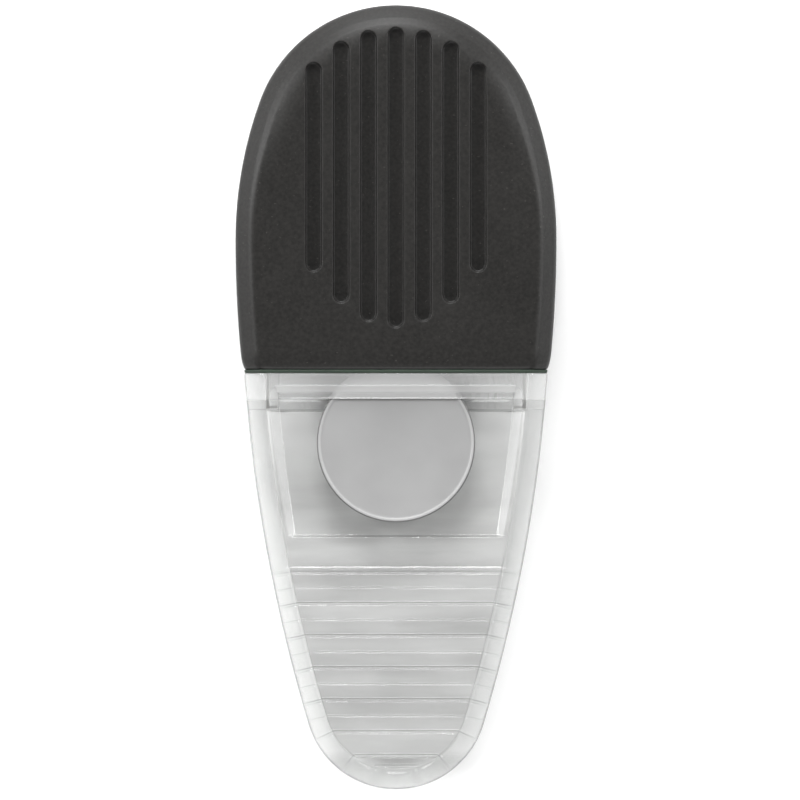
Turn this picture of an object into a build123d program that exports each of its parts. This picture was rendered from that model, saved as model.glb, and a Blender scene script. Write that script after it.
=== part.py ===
"""Divot repair tool, lying on its flat back with its cap on.

+X is across the tool, +Y runs from the tail to the cap's crown and +Z comes out of the front face.
The origin is under the middle of the tool, on the surface that it lies on. Sizes are millimetres.
"""

from build123d import *
from math import asin, atan2, degrees, sqrt
import os

# The whole tool: the handle, a seam that the seal fills, and the cap
cap_length = 43.70
seam_gap = 0.42
handle_length = 50.18
cap_thickness = 14.0
handle_thickness = 13.7
tail_thickness = 5.1
edge_bevel = 2.05

# Plan of the cap: a crown arc, a shoulder arc to the widest place and a flatter side arc to the mouth
cap_half_width = 19.24
cap_widest_below_crown = 28.15
cap_shoulder_radius = 49.0
cap_side_radius = 148.0

# Plan of the handle: one side arc, widest under the cap, running into the tail arc
handle_reveal = 0.57
handle_widest_above_shoulder = 13.57
handle_side_radius = 196.0

# Cap walls, and the grooves in its grip
grip_wall = 1.5
liner_wall = 1.2
liner_setback = 1.7
groove_count = 7
groove_side_margin = 9.4
groove_width = 1.9
groove_depth = 1.0
groove_crown_margin = 2.75
groove_foot_above_mouth = 5.0
groove_foot_bow = 0.069

# Neck of the handle, inside the cap
cap_clearance = 0.15
neck_base_length = 2.02
neck_length = 10.4

# Handle walls and the core between them
back_wall = 2.4
shell_wall = 2.2
tip_wall = 3.65
roof_wall = 1.8
collar_length = 4.43
core_clearance = 0.1

# Marker, its recess and the slot under the recess's lip
marker_diameter = 19.0
marker_thickness = 1.2
marker_edge_radius = 0.3
marker_rim_width = 1.2
marker_dish_depth = 0.15
marker_below_shoulder = 8.4
marker_rest_gap = 0.03
marker_roof_gap = 0.12
marker_slot_clearance = 0.2
slot_roof = 0.7
pad_height = 0.6
pad_margin = 0.75
recess_lip = 3.13
recess_length = 16.6
recess_side_margin = 3.9
recess_side_draft = 1.1
recess_lip_draft = 1.75

# Ridges across the tail
ridge_first_below_shoulder = 27.7
ridge_pitch = 3.87
ridge_count = 6
ridge_valley_width = 0.8
ridge_valley_depth = 0.3

# Fork, its tang in the neck and its two screws
fork_thickness = 2.0
tang_half_width = 10.5
tang_below_neck_end = 8.4
tang_clearance = 0.05
tang_corner_radius = 0.8
bridge_above_neck = 2.6
prong_gap = 8.8
prong_root_width = 3.4
prong_tip_width = 1.8
prong_lean = 0.5
prong_end_clearance = 2.2
screw_spread = 13.0
screw_below_neck_end = 4.6
screw_diameter = 2.0
screw_head_diameter = 3.6
screw_head_height = 1.2
screw_bite = 3.0
screw_clearance = 0.02
screw_head_sink = 0.3
screw_drive_radius = 0.65
screw_drive_depth = 0.7

# Springs at the neck's sides, which bear on the liner
spring_thickness = 0.4
spring_width = 3.2
spring_pocket_depth = 1.6
spring_pocket_clearance = 0.1
spring_wall_clearance = 0.05
spring_end_setback = 1.0

# Seal ring in the seam
seal_recess = 0.25
seal_clearance = 0.02

# Places that follow from the sizes
length = cap_length + seam_gap + handle_length
handle_half_width = cap_half_width - handle_reveal
crown_y = length / 2
tail_y = -length / 2
shoulder_y = tail_y + handle_length
mouth_y = shoulder_y + seam_gap
cap_widest_y = crown_y - cap_widest_below_crown
handle_widest_y = shoulder_y + handle_widest_above_shoulder
neck_base_end_y = shoulder_y + neck_base_length
neck_end_y = shoulder_y + neck_length
collar_y = shoulder_y - collar_length
fork_z = cap_thickness / 2
face_slope = (handle_thickness - tail_thickness) / handle_length
neck_base_inset = grip_wall + cap_clearance
neck_inset = grip_wall + liner_wall + cap_clearance
marker_y = shoulder_y - marker_below_shoulder
marker_radius = marker_diameter / 2
recess_top_y = shoulder_y - recess_lip
slot_roof_z = cap_thickness - neck_base_inset - slot_roof
pad_z = slot_roof_z - marker_roof_gap - marker_thickness - marker_rest_gap
floor_z = pad_z - pad_height
recess_low_y = recess_top_y - recess_length
spring_end_y = neck_end_y - spring_end_setback
throat_y = mouth_y + liner_setback

# Further than any form reaches, how far a cutter runs past its form, and a sliver that keeps faces apart
FAR = 2 * length
OVERRUN = 1.0
SLIVER = 0.01


def face_z(y):
    """Height of the handle's sloping front face."""
    return handle_thickness - face_slope * (shoulder_y - y)


def end_radius(side_radius, half_width, reach):
    """Radius of the end arc that a side arc runs into smoothly, reach beyond its widest place."""
    centre = side_radius - half_width
    return (side_radius**2 - centre**2 - reach**2) / (2 * (side_radius - reach))


def handle_half_width_at(y):
    """Half width of the handle at y, beside its side arcs."""
    side_x = handle_side_radius - handle_half_width
    return sqrt(handle_side_radius**2 - (handle_widest_y - y) ** 2) - side_x


def closed_plan(right_side, across):
    """Face between a chain of edges on the right, its mirror image and the arcs or lines across."""
    left_side = [mirror(edge, Plane.YZ) for edge in right_side]
    return make_face([*right_side, *left_side, *across])


def cap_plan(inset, low_y):
    """Plan of the cap, drawn in by inset and cut off square at low_y."""
    radius = end_radius(cap_shoulder_radius, cap_half_width, crown_y - cap_widest_y)
    shoulder_x = cap_shoulder_radius - cap_half_width
    end_y = crown_y - radius
    turn = degrees(atan2(end_y - cap_widest_y, shoulder_x))
    side_x = cap_side_radius - cap_half_width
    side_r = cap_side_radius - inset
    fall = degrees(asin((cap_widest_y - low_y) / side_r))
    side = CenterArc((-side_x, cap_widest_y), side_r, -fall, fall)
    shoulder = CenterArc((-shoulder_x, cap_widest_y), cap_shoulder_radius - inset, 0, turn)
    crown = CenterArc((0, end_y), radius - inset, turn, 180 - 2 * turn)
    foot_x = (side @ 0).X
    return closed_plan([side, shoulder], [crown, Line((-foot_x, low_y), (foot_x, low_y))])


def handle_plan(inset, high_y):
    """Plan of the handle, drawn in by inset and cut off square at high_y."""
    radius = end_radius(handle_side_radius, handle_half_width, handle_widest_y - tail_y)
    side_x = handle_side_radius - handle_half_width
    end_y = tail_y + radius
    turn = degrees(atan2(handle_widest_y - end_y, side_x))
    side_r = handle_side_radius - inset
    start = degrees(asin((handle_widest_y - high_y) / side_r))
    side = CenterArc((-side_x, handle_widest_y), side_r, -turn, turn - start)
    tail = CenterArc((0, end_y), radius - inset, 180 + turn, 180 - 2 * turn)
    top_x = (side @ 1).X
    return closed_plan([side], [tail, Line((-top_x, high_y), (top_x, high_y))])


def slab(plan, low_z, high_z):
    """Plan raised between two heights."""
    return extrude(Pos(0, 0, low_z) * plan, amount=high_z - low_z, dir=(0, 0, 1))


def block(low, high):
    """Box between two corners."""
    size = [b - a for a, b in zip(low, high)]
    return Pos(*low) * Box(*size, align=(Align.MIN, Align.MIN, Align.MIN))


def side_prism(points):
    """Solid right across the tool, with this outline of (y, z) points."""
    outline = make_face(Polyline(*[(0, y, z) for y, z in points], close=True))
    return extrude(outline, amount=FAR, dir=(1, 0, 0), both=True)


def cap_half_width_at(y, inset):
    """Half width at y of the cap's form drawn in by inset, between its mouth and its widest place."""
    side_x = cap_side_radius - cap_half_width
    return sqrt((cap_side_radius - inset) ** 2 - (cap_widest_y - y) ** 2) - side_x


def neck_half_width():
    """Half width of the neck, which clears the liner at its throat."""
    return cap_half_width_at(throat_y, grip_wall + liner_wall) - cap_clearance


def bevelled(solid, size, cut_y):
    """Solid with its upper and lower rims bevelled, apart from those on the square end at cut_y."""
    rims = []
    for edge in solid.edges():
        middle = edge @ 0.5
        upright = abs((edge % 0.5).Z) > sqrt(0.5)
        on_cut = abs(middle.Y - cut_y) < SLIVER
        if not upright and not on_cut:
            rims.append(edge)
    return chamfer(rims, size)


def bevel_at(inset):
    """Bevel that stays level with the outer one on a form drawn in by inset."""
    return max(edge_bevel - (2 - sqrt(2)) * inset, edge_bevel / 10)


def cap_form(inset, low_y):
    """The cap's whole outer form, drawn in by inset on every side but its mouth."""
    solid = slab(cap_plan(inset, low_y), inset, cap_thickness - inset)
    return bevelled(solid, bevel_at(inset), low_y)


def neck_form(inset, throat_y, clearance, high_y):
    """Straight-sided plug from the shoulder to high_y that passes the cap's throat at throat_y."""
    half = cap_half_width_at(throat_y, inset) - clearance
    low_z = inset + clearance
    plug = block((-half, shoulder_y - OVERRUN, low_z), (half, high_y, cap_thickness - low_z))
    rims = [edge for edge in plug.edges().filter_by(Axis.Y)]
    return chamfer(rims, bevel_at(low_z))


def handle_form():
    """The handle's outer form below its shoulder, with its face sloping to the tail."""
    solid = slab(handle_plan(0, shoulder_y), 0, cap_thickness + handle_thickness)
    wedge = side_prism(
        [
            (tail_y - OVERRUN, 0),
            (shoulder_y, 0),
            (shoulder_y, handle_thickness),
            (tail_y - OVERRUN, face_z(tail_y - OVERRUN)),
        ]
    )
    return bevelled(solid & wedge, edge_bevel, shoulder_y)


def groove_cutter(x, face_is_front):
    """Cutter for one groove: a long slot with round ends, in the cap's front or back face."""
    end_r = groove_width / 2
    crown_r = end_radius(cap_shoulder_radius, cap_half_width, crown_y - cap_widest_y)
    crown_rise = sqrt((crown_r - groove_crown_margin - end_r) ** 2 - x**2)
    high = crown_y - crown_r + crown_rise + end_r
    low = mouth_y + groove_foot_above_mouth + groove_foot_bow * x**2
    slot = SlotOverall(high - low, groove_width, rotation=90)
    z = cap_thickness - groove_depth if face_is_front else 0
    return slab(Pos(x, (high + low) / 2) * slot, z, z + groove_depth)


def make_cap_grip():
    """Soft outer half of the cap, grooved front and back."""
    grip = cap_form(0, mouth_y) - cap_form(grip_wall, mouth_y)
    side_count = (groove_count - 1) // 2
    groove_pitch = (cap_half_width - groove_side_margin) / side_count
    for column in range(-side_count, side_count + 1):
        grip -= groove_cutter(column * groove_pitch, True)
        grip -= groove_cutter(column * groove_pitch, False)
    return grip


def make_cap_liner():
    """Hard inner shell of the cap, set back from the mouth."""
    return cap_form(grip_wall, throat_y) - cap_form(grip_wall + liner_wall, throat_y)


def core_profile(clearance):
    """Side view of the space for the core: level under the recess, then parallel to the face."""
    level = floor_z - roof_wall - clearance
    low_y = tail_y + tip_wall + clearance
    bend_y = shoulder_y - (handle_thickness - floor_z) / face_slope
    return side_prism(
        [
            (low_y, back_wall),
            (collar_y - clearance, back_wall),
            (collar_y - clearance, level),
            (bend_y, level),
            (low_y, face_z(low_y) - roof_wall - clearance),
        ]
    )


def make_core_space(clearance):
    """The core, or with no clearance the space that holds it."""
    plan = handle_plan(shell_wall + clearance, collar_y - clearance)
    return slab(plan, back_wall, cap_thickness) & core_profile(clearance)


def recess_outline(top_y, margin, height):
    """Outline across the handle between recess_low_y and top_y, with heights from a function of y."""
    corners = []
    for y, sides in ((top_y, (-1, 1)), (recess_low_y, (1, -1))):
        half = handle_half_width_at(y) - margin
        corners += [(side * half, y, height(y)) for side in sides]
    return make_face(Polyline(*corners, close=True))


def lip_z(y):
    """Height where the recess's drafted walls begin: the slot's roof at the lip, the floor at its foot."""
    return floor_z + (slot_roof_z - floor_z) * (y - recess_low_y) / recess_length


def make_recess():
    """Cutter for the marker's recess: a level floor, drafted walls, and the pad left standing."""
    plan = recess_outline(recess_top_y, recess_side_margin, lambda y: 0)
    under_lip = side_prism(
        [(recess_low_y, floor_z), (recess_top_y, floor_z), (recess_top_y, slot_roof_z)]
    )
    foot = recess_outline(recess_top_y, recess_side_margin, lip_z)
    rim = recess_outline(
        recess_top_y + recess_lip_draft,
        recess_side_margin - recess_side_draft,
        lambda y: max(face_z(y), lip_z(y)) + SLIVER,
    )
    pad = Pos(0, marker_y, floor_z) * Cylinder(
        marker_radius - pad_margin, pad_height, align=(Align.CENTER, Align.CENTER, Align.MIN)
    )
    return (slab(plan, 0, cap_thickness) & under_lip) + loft([foot, rim], ruled=True) - pad


def make_marker_slot():
    """Cutter for the slot under the lip that takes the marker's upper edge."""
    disc = Pos(0, marker_y) * Circle(marker_radius + marker_slot_clearance)
    slot = slab(disc, pad_z, slot_roof_z)
    return slot & block((-FAR, recess_top_y, 0), (FAR, FAR, FAR))


def make_ridge_cuts():
    """Cutter for the valleys between the tail's ridges."""
    half = ridge_valley_width / 2
    cuts = None
    for index in range(ridge_count):
        y = shoulder_y - ridge_first_below_shoulder - index * ridge_pitch
        valley = side_prism(
            [
                (y - half, face_z(y - half) + SLIVER),
                (y, face_z(y) - ridge_valley_depth),
                (y + half, face_z(y + half) + SLIVER),
                (y, face_z(y) + half),
            ]
        )
        cuts = valley if cuts is None else cuts + valley
    return cuts


def fork_plan(growth):
    """Plan of the fork's tang, grown by a clearance."""
    high = neck_end_y + bridge_above_neck
    low = neck_end_y - tang_below_neck_end - growth
    half = tang_half_width + growth
    return make_face(Polyline((-half, low), (half, low), (half, high), (-half, high), close=True))


def prong_plan(side):
    """Plan of one prong, tapering and leaning in to a round point."""
    root_y = neck_end_y
    tip_y = crown_y - grip_wall - liner_wall - prong_end_clearance
    root_in = prong_gap / 2
    tip_in = root_in - prong_lean
    tip_r = prong_tip_width / 2
    outline = [
        Line((side * root_in, root_y), (side * tip_in, tip_y - tip_r)),
        ThreePointArc(
            (side * tip_in, tip_y - tip_r),
            (side * (tip_in + tip_r), tip_y),
            (side * (tip_in + 2 * tip_r), tip_y - tip_r),
        ),
        Line(
            (side * (tip_in + 2 * tip_r), tip_y - tip_r),
            (side * (root_in + prong_root_width), root_y),
        ),
        Line((side * (root_in + prong_root_width), root_y), (side * root_in, root_y)),
    ]
    return make_face(outline)


def screw_places():
    """Centres of the two fork screws."""
    y = neck_end_y - screw_below_neck_end
    return [(side * screw_spread / 2, y) for side in (-1, 1)]


def make_fork():
    """Two-pronged plate with its tang and its two screw holes."""
    low, high = fork_z - fork_thickness / 2, fork_z + fork_thickness / 2
    fork = slab(fork_plan(0), low, high)
    for side in (-1, 1):
        fork += slab(prong_plan(side), low, high)
    bridge_y = neck_end_y + bridge_above_neck
    corners = [
        edge
        for edge in fork.edges().filter_by(Axis.Z)
        if abs(edge.center().X) > prong_gap / 2 and abs(edge.center().Y - bridge_y) < SLIVER
    ]
    fork = fillet(corners, tang_corner_radius)
    hole_r = screw_diameter / 2 + 2 * screw_clearance
    for x, y in screw_places():
        fork -= slab(Pos(x, y) * Circle(hole_r), low, high)
    return fork


def make_screws():
    """The two screws, heads to the back, as one node."""
    head_z = neck_inset + screw_head_sink
    screws = []
    for x, y in screw_places():
        head = slab(Pos(x, y) * Circle(screw_head_diameter / 2), head_z, head_z + screw_head_height)
        tip_z = fork_z + fork_thickness / 2 + screw_bite - screw_clearance
        shank = slab(Pos(x, y) * Circle(screw_diameter / 2), head_z, tip_z)
        drive_face = Pos(x, y) * RegularPolygon(screw_drive_radius, 6)
        drive = slab(drive_face, head_z, head_z + screw_drive_depth)
        screws.append(head + shank - drive)
    return Compound(children=screws)


def make_screw_holes():
    """Cutter for the screws' holes and sunk heads."""
    head_top = neck_inset + screw_head_sink + screw_head_height + screw_clearance
    tip_z = fork_z + fork_thickness / 2 + screw_bite
    cuts = None
    for x, y in screw_places():
        head = slab(Pos(x, y) * Circle(screw_head_diameter / 2 + screw_clearance), 0, head_top)
        shank = slab(Pos(x, y) * Circle(screw_diameter / 2 + screw_clearance), 0, tip_z)
        pair = head + shank
        cuts = pair if cuts is None else cuts + pair
    return cuts


def make_spring_pocket(side):
    """Cutter for one spring's pocket, open to the neck's side above the neck base."""
    half = spring_width / 2 + spring_pocket_clearance
    outer = neck_half_width()
    inner = outer - spring_pocket_depth
    pocket = block((inner, collar_y, fork_z - half), (outer, spring_end_y, fork_z + half))
    window = block(
        (inner, neck_base_end_y, fork_z - half), (outer + OVERRUN, spring_end_y, fork_z + half)
    )
    solid = pocket + window
    return solid if side > 0 else mirror(solid, Plane.YZ)


def make_spring(side):
    """One strip spring: a foot in the collar, and a bow that bears on the liner."""
    c = spring_pocket_clearance
    inner = neck_half_width() - spring_pocket_depth + c
    low_y, high_y = collar_y + c, spring_end_y - c
    foot_y = shoulder_y
    bow_y = (neck_base_end_y + high_y) / 2
    bow_x = neck_half_width() + cap_clearance - spring_wall_clearance
    foot_x = inner + spring_pocket_depth - 2 * c - spring_thickness
    t = spring_thickness
    outer_line = [
        Line((inner, low_y), (foot_x + t, low_y)),
        Line((foot_x + t, low_y), (foot_x + t, foot_y)),
        Line((foot_x + t, foot_y), (inner + t, neck_base_end_y)),
        ThreePointArc((inner + t, neck_base_end_y), (bow_x, bow_y), (inner + t, high_y)),
        Line((inner + t, high_y), (inner, high_y)),
        ThreePointArc((inner, high_y), (bow_x - t, bow_y), (inner, neck_base_end_y)),
        Line((inner, neck_base_end_y), (foot_x, foot_y)),
        Line((foot_x, foot_y), (foot_x, low_y + t)),
        Line((foot_x, low_y + t), (inner, low_y + t)),
        Line((inner, low_y + t), (inner, low_y)),
    ]
    strip = slab(make_face(outer_line), fork_z - spring_width / 2, fork_z + spring_width / 2)
    return strip if side > 0 else mirror(strip, Plane.YZ)


def make_neck_base(growth):
    """Thicker foot of the neck, inside the grip's mouth."""
    return neck_form(grip_wall, mouth_y, cap_clearance - growth, neck_base_end_y)


def make_neck():
    """Neck inside the liner."""
    return neck_form(grip_wall + liner_wall, throat_y, cap_clearance, neck_end_y)


def make_handle_solid():
    """Both handle shells as one solid, before they are parted."""
    solid = handle_form() + make_neck_base(0) + make_neck()
    solid -= make_core_space(0)
    solid -= make_recess()
    solid -= make_marker_slot()
    solid -= make_ridge_cuts()
    low, high = fork_z - fork_thickness / 2, fork_z + fork_thickness / 2
    solid -= slab(fork_plan(tang_clearance), low, high)
    solid -= make_screw_holes()
    for side in (-1, 1):
        solid -= make_spring_pocket(side)
    return solid


def make_shells():
    """Front and back shells. They part at the back wall, and at the fork's middle in collar and neck."""
    solid = make_handle_solid()
    low = block((-FAR, -FAR, -FAR), (FAR, FAR, back_wall))
    low += block((-FAR, collar_y, -FAR), (FAR, FAR, fork_z))
    return solid - low, solid & low


def make_core():
    """Frosted core between the shells."""
    return make_core_space(core_clearance)


def make_marker():
    """Ball marker: a disc with a thin raised rim and a rounded edge."""
    disc = Cylinder(marker_radius, marker_thickness)
    disc = fillet(disc.edges(), marker_edge_radius)
    dish_radius = marker_radius - marker_rim_width
    dish = Pos(0, 0, marker_thickness / 2) * Cylinder(dish_radius, 2 * marker_dish_depth)
    return Pos(0, marker_y, pad_z + marker_rest_gap + marker_thickness / 2) * (disc - dish)


def make_seal():
    """Soft ring round the neck base, in the seam."""
    high_y = shoulder_y + seam_gap - seal_clearance
    seam = block((-FAR, shoulder_y, -FAR), (FAR, high_y, FAR))
    return (cap_form(seal_recess, shoulder_y) & seam) - make_neck_base(seal_clearance)


front_shell, back_shell = make_shells()
nodes = {
    "cap_grip": make_cap_grip(),
    "cap_liner": make_cap_liner(),
    "handle_front_shell": front_shell,
    "handle_back_shell": back_shell,
    "handle_core": make_core(),
    "fork": make_fork(),
    "fork_screws": make_screws(),
    "left_cap_spring": make_spring(-1),
    "right_cap_spring": make_spring(1),
    "seal_ring": make_seal(),
    "ball_marker": make_marker(),
}
os.makedirs("parts", exist_ok=True)
for name, shape in nodes.items():
    export_step(shape, f"parts/{name}.step")
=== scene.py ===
from math import asin, atan2, cos, hypot, pi, radians, sin, sqrt

import bmesh
import bpy
from mathutils import Matrix, Vector
from mathutils.geometry import delaunay_2d_cdt


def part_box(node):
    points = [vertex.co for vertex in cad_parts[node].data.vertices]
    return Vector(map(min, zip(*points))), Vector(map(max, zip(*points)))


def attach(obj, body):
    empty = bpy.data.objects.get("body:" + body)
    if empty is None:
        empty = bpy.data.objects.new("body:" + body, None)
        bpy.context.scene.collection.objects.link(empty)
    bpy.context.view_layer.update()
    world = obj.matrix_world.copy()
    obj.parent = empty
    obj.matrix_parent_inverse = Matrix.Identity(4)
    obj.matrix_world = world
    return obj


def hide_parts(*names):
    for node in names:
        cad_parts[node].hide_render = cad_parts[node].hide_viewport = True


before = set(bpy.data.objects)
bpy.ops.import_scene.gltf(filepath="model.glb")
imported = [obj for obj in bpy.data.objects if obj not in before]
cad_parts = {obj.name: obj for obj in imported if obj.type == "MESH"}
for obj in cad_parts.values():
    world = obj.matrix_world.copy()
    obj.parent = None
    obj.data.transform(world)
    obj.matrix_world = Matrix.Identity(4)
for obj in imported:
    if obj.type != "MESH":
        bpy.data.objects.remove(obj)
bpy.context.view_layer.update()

# ---------------------------------------------------------------------------
# Studio: a plain pale table, soft light from all sides and a camera straight above.
# The overhead direction stays the darkest, as in a light tent with a hole for the lens.
# ---------------------------------------------------------------------------
MM = 0.001
FRAME_WIDTH = 96 * MM
FRAME_CENTRE = (0.48 * MM, -0.21 * MM)
FACE_HEIGHT = 10 * MM
CAMERA_RISE = 1400 * MM
ROOM_LIGHT = 0.25
SOFTBOX_DISTANCE = 0.6
SOFTBOX_WIDTH = 0.3
FLOOR_HALF = 1.5
FLOOR_COLOUR = (0.9, 0.9, 0.9, 1)

scene = bpy.context.scene
scene.view_settings.view_transform = "Standard"

camera_data = bpy.data.cameras.new("camera")
camera_data.lens = camera_data.sensor_width * CAMERA_RISE / FRAME_WIDTH
camera_data.clip_start = 0.01
camera = bpy.data.objects.new("camera", camera_data)
camera.location = (*FRAME_CENTRE, FACE_HEIGHT + CAMERA_RISE)
scene.collection.objects.link(camera)
scene.camera = camera

world = bpy.data.worlds.new("studio")
world.use_nodes = True
world.node_tree.nodes["Background"].inputs["Color"].default_value = (1, 1, 1, 1)
world.node_tree.nodes["Background"].inputs["Strength"].default_value = ROOM_LIGHT
scene.world = world


def add_softbox(name, azimuth, elevation, power):
    """Square area light that faces the tool from this direction."""
    data = bpy.data.lights.new(name, "AREA")
    data.shape = "SQUARE"
    data.size = SOFTBOX_WIDTH
    data.energy = power
    light = bpy.data.objects.new(name, data)
    a, e = radians(azimuth), radians(elevation)
    direction = Vector((cos(a) * cos(e), sin(a) * cos(e), sin(e)))
    light.location = direction * SOFTBOX_DISTANCE
    light.rotation_euler = direction.to_track_quat("Z", "Y").to_euler()
    scene.collection.objects.link(light)


add_softbox("left_softbox", 160, 30, 3.2)
add_softbox("right_softbox", 20, 30, 2.8)
add_softbox("crown_softbox", 95, 28, 4.6)
add_softbox("tail_softbox", 270, 34, 1.8)

floor_bm = bmesh.new()
bmesh.ops.create_grid(floor_bm, x_segments=1, y_segments=1, size=FLOOR_HALF)
floor_mesh = bpy.data.meshes.new("floor")
floor_bm.to_mesh(floor_mesh)
floor = bpy.data.objects.new("floor", floor_mesh)
scene.collection.objects.link(floor)
floor_paint = bpy.data.materials.new("pale_floor")
floor_paint.use_nodes = True
floor_shader = floor_paint.node_tree.nodes["Principled BSDF"]
floor_shader.inputs["Base Color"].default_value = FLOOR_COLOUR
floor_shader.inputs["Roughness"].default_value = 0.9
floor_mesh.materials.append(floor_paint)

# ---------------------------------------------------------------------------
# Cap grip: soft black rubber moulded over the cap's hard liner, matte from a finely
# blasted mould, with seven long grooves down each face and a rolled edge at its mouth.
# ---------------------------------------------------------------------------
grip_low, grip_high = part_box("cap_grip")
MOUTH_Y = grip_low.y / MM
CROWN_Y = grip_high.y / MM
CAP_HALF = grip_high.x / MM
CAP_THICK = grip_high.z / MM
CAP_SHOULDER_RADIUS = 49.0
CAP_SIDE_RADIUS = 148.0
WIDEST_BELOW_CROWN = 28.15
GRIP_WALL = 1.5
EDGE_BEVEL = 2.05
GRIP_BEVEL = 1.85
BEVEL_SOFTENING = 0.6
CROWN_ROLL_DEPTH = 0.8
CROWN_ROLL_END = 5.0
CROWN_ROLL_LOW_Y = 21.0
CROWN_ROLL_HIGH_Y = 38.0
CROWN_ROLL_INSETS = (2.9, 3.3, 3.8, 4.4, 5.0)
MOUTH_ROLL_LENGTH = 2.2
MOUTH_ROLL_DEPTH = 0.4
MOUTH_ROLL_ROWS = (1.0, 0.75, 0.5, 0.3, 0.15, 0.05)
GROOVE_PITCH = 3.28
GROOVE_WIDTH = 1.95
GROOVE_DEPTH = 1.0
GROOVE_RIM = 0.16
GROOVE_COLUMNS = range(-3, 4)
GROOVE_FOOT = 5.0
GROOVE_FOOT_BOW = 0.069
GROOVE_FOOT_FILLET = 0.25
GROOVE_CROWN_MARGIN = 2.75
GROOVE_RUN_OUT = 4.2
GROOVE_RUN_STEPS = 8
GROOVE_END_STEPS = 10
GROOVE_LEVELLING = 1.1
GROOVE_LEAST_DEPTH = 0.04
GROOVE_SPACING = 0.1
ROUNDING_STEPS = 4
MERGE = 1e-4
TOUCH = 1e-3

CAP_WIDEST_Y = CROWN_Y - WIDEST_BELOW_CROWN
CAP_SHOULDER_X = CAP_SHOULDER_RADIUS - CAP_HALF
CAP_SIDE_X = CAP_SIDE_RADIUS - CAP_HALF
CROWN_RADIUS = (CAP_SHOULDER_RADIUS**2 - CAP_SHOULDER_X**2 - WIDEST_BELOW_CROWN**2) / (
    2 * (CAP_SHOULDER_RADIUS - WIDEST_BELOW_CROWN)
)
CROWN_CENTRE_Y = CROWN_Y - CROWN_RADIUS


def arc_points(centre, radius, start, turn, steps):
    """Points along an arc, without its first one, each with its direction from the centre."""
    points = []
    for step in range(1, steps + 1):
        angle = start + turn * step / steps
        way = Vector((cos(angle), sin(angle)))
        points.append((Vector(centre) + radius * way, way))
    return points


def cap_edge_line():
    """The cap's plan from its mouth's right corner over the crown to its left corner."""
    fall = asin((CAP_WIDEST_Y - MOUTH_Y) / CAP_SIDE_RADIUS)
    turn = atan2(CROWN_CENTRE_Y - CAP_WIDEST_Y, CAP_SHOULDER_X)
    right = arc_points((-CAP_SIDE_X, CAP_WIDEST_Y), CAP_SIDE_RADIUS, -fall - fall / 24, fall * 25 / 24, 25)
    right += arc_points((-CAP_SHOULDER_X, CAP_WIDEST_Y), CAP_SHOULDER_RADIUS, 0, turn, 20)
    right += arc_points((0, CROWN_CENTRE_Y), CROWN_RADIUS, turn, pi / 2 - turn, 32)
    left = [(Vector((-p.x, p.y)), Vector((-w.x, w.y))) for p, w in reversed(right[:-1])]
    return right + left


def chamfer_profile(size, softening, steps):
    """(inset, drop) points over a 45 degree bevel whose two corners are rounded off."""
    inner, outer = (size, 0), (0, size)
    way = sqrt(0.5) * softening
    corners = [
        ((size + softening, 0), inner, (size - way, way)),
        ((way, size - way), outer, (0, size + softening)),
    ]
    points = []
    for corner in corners:
        for step in range(steps + 1):
            t = step / steps
            weights = ((1 - t) ** 2, 2 * t * (1 - t), t * t)
            points.append(tuple(sum(w * p[axis] for w, p in zip(weights, corner)) for axis in (0, 1)))
    return points


def drape_grid(bm, columns, rows, place):
    """Grid of faces whose corner in column i and row j is carried to place(i, j)."""
    made = bmesh.ops.create_grid(bm, x_segments=columns, y_segments=rows, size=1)
    for vert in made["verts"]:
        i = round((vert.co.x + 1) / 2 * columns)
        j = round((vert.co.y + 1) / 2 * rows)
        vert.co = place(i, j)
    return made["verts"]


def crown_roll(x, y):
    """How far the cap's faces roll down towards its crown and shoulders, at a spot of its plan."""
    x = abs(x)
    if (y - CROWN_CENTRE_Y) * CAP_SHOULDER_X > x * (CROWN_CENTRE_Y - CAP_WIDEST_Y):
        inset = CROWN_RADIUS - hypot(x, y - CROWN_CENTRE_Y)
    else:
        inset = CAP_SHOULDER_RADIUS - hypot(x + CAP_SHOULDER_X, y - CAP_WIDEST_Y)
    share = min(1, max(0, (y - CROWN_ROLL_LOW_Y) / (CROWN_ROLL_HIGH_Y - CROWN_ROLL_LOW_Y)))
    fall = min(1, max(0, (CROWN_ROLL_END - inset) / (CROWN_ROLL_END - GRIP_BEVEL))) ** 2
    return CROWN_ROLL_DEPTH * share * share * (3 - 2 * share) * fall


def drape_cap_side(bm, line, profile, rolled):
    """Wraps the cap's rims and side wall with a grid that follows the plan and the rim profile."""

    def place(i, j):
        point, way = line[i]
        inset, z = profile[j]
        spot = point - inset * way
        if i in (0, len(line) - 1):
            spot.y = MOUTH_Y
        if rolled:
            z += crown_roll(spot.x, spot.y) * (1 if z < CAP_THICK / 2 else -1)
        return spot.x, spot.y, z

    drape_grid(bm, len(line) - 1, len(profile) - 1, place)


def rim_profile(inset, thick, bevel, softening, steps):
    """(inset, z) points from the front face's edge over the side wall to the back face's edge."""
    profile = chamfer_profile(bevel, softening, steps)
    upper = [(inset + along, thick - inset - drop) for along, drop in profile]
    lower = [(along, thick - z) for along, z in reversed(upper)]
    return upper + lower


def groove_ends(column):
    """Lowest and highest y of a groove's outline."""
    x = column * GROOVE_PITCH
    low = MOUTH_Y + GROOVE_FOOT + GROOVE_FOOT_BOW * x**2
    half = GROOVE_WIDTH / 2
    high = CROWN_CENTRE_Y + half + sqrt((CROWN_RADIUS - GROOVE_CROWN_MARGIN - half) ** 2 - x**2)
    return low, high


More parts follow.
